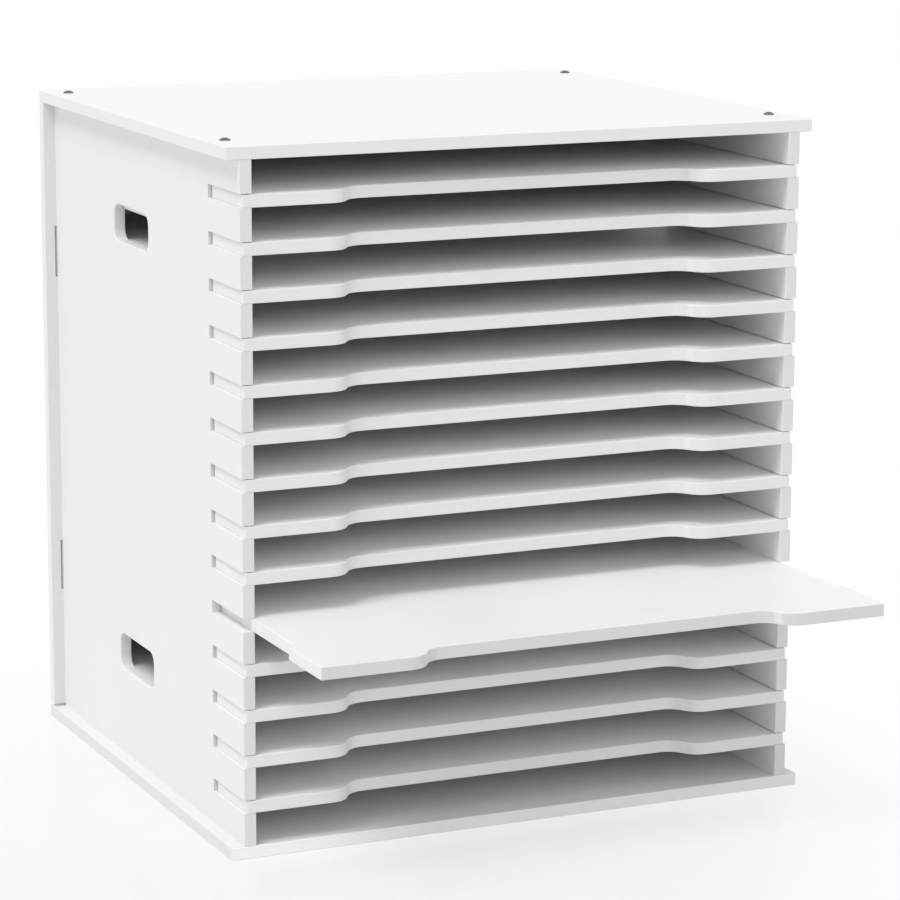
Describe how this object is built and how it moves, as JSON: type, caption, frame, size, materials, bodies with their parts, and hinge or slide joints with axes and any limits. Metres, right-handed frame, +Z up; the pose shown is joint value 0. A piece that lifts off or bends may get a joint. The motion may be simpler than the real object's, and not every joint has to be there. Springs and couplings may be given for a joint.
{
  "type": "paper storage drawers",
  "caption": "Tabletop cabinet of thin white boards with a stack of shallow pull-out shelves for flat craft paper, hand holes in its sides and finger recesses in the shelf fronts.",
  "frame": {"origin": "middle of the bottom panel's underside, on the surface that the cabinet stands on", "axes": "+X to the right seen from the front, -Y out of the open front, +Z up"},
  "size_m": [0.352, 0.422, 0.391],
  "materials": {
    "white_board": "satin white paint on thin fibreboard",
    "screw_steel": "black oxide, satin"
  },
  "bodies": {
    "cabinet": {"top_panel": "white_board", "bottom_panel": "white_board", "back_panel": "white_board", "left_side_panel": "white_board", "right_side_panel": "white_board", "top_screws": "screw_steel", "bottom_screws": "screw_steel"},
    "shelf_01": {"shelf_01": "white_board"},
    "shelf_02": {"shelf_02": "white_board"},
    "shelf_03": {"shelf_03": "white_board"},
    "shelf_04": {"shelf_04": "white_board"},
    "shelf_05": {"shelf_05": "white_board"},
    "shelf_06": {"shelf_06": "white_board"},
    "shelf_07": {"shelf_07": "white_board"},
    "shelf_08": {"shelf_08": "white_board"},
    "shelf_09": {"shelf_09": "white_board"},
    "shelf_10": {"shelf_10": "white_board"},
    "shelf_11": {"shelf_11": "white_board"},
    "shelf_12": {"shelf_12": "white_board"},
    "shelf_13": {"shelf_13": "white_board"},
    "shelf_14": {"shelf_14": "white_board"}
  },
  "joints": [
    {"name": "shelf_01_slide", "type": "slide", "parent": "cabinet", "child": "shelf_01", "axis": [0, -1, 0], "range_m": [0, 0.3]},
    {"name": "shelf_02_slide", "type": "slide", "parent": "cabinet", "child": "shelf_02", "axis": [0, -1, 0], "range_m": [0, 0.3]},
    {"name": "shelf_03_slide", "type": "slide", "parent": "cabinet", "child": "shelf_03", "axis": [0, -1, 0], "range_m": [0, 0.3]},
    {"name": "shelf_04_slide", "type": "slide", "parent": "cabinet", "child": "shelf_04", "axis": [0, -1, 0], "range_m": [0, 0.3]},
    {"name": "shelf_05_slide", "type": "slide", "parent": "cabinet", "child": "shelf_05", "axis": [0, -1, 0], "range_m": [0, 0.3]},
    {"name": "shelf_06_slide", "type": "slide", "parent": "cabinet", "child": "shelf_06", "axis": [0, -1, 0], "range_m": [0, 0.3]},
    {"name": "shelf_07_slide", "type": "slide", "parent": "cabinet", "child": "shelf_07", "axis": [0, -1, 0], "range_m": [0, 0.3]},
    {"name": "shelf_08_slide", "type": "slide", "parent": "cabinet", "child": "shelf_08", "axis": [0, -1, 0], "range_m": [0, 0.3]},
    {"name": "shelf_09_slide", "type": "slide", "parent": "cabinet", "child": "shelf_09", "axis": [0, -1, 0], "range_m": [0, 0.3]},
    {"name": "shelf_10_slide", "type": "slide", "parent": "cabinet", "child": "shelf_10", "axis": [0, -1, 0], "range_m": [-0.107, 0.193]},
    {"name": "shelf_11_slide", "type": "slide", "parent": "cabinet", "child": "shelf_11", "axis": [0, -1, 0], "range_m": [0, 0.3]},
    {"name": "shelf_12_slide", "type": "slide", "parent": "cabinet", "child": "shelf_12", "axis": [0, -1, 0], "range_m": [0, 0.3]},
    {"name": "shelf_13_slide", "type": "slide", "parent": "cabinet", "child": "shelf_13", "axis": [0, -1, 0], "range_m": [0, 0.3]},
    {"name": "shelf_14_slide", "type": "slide", "parent": "cabinet", "child": "shelf_14", "axis": [0, -1, 0], "range_m": [0, 0.3]}
  ]
}
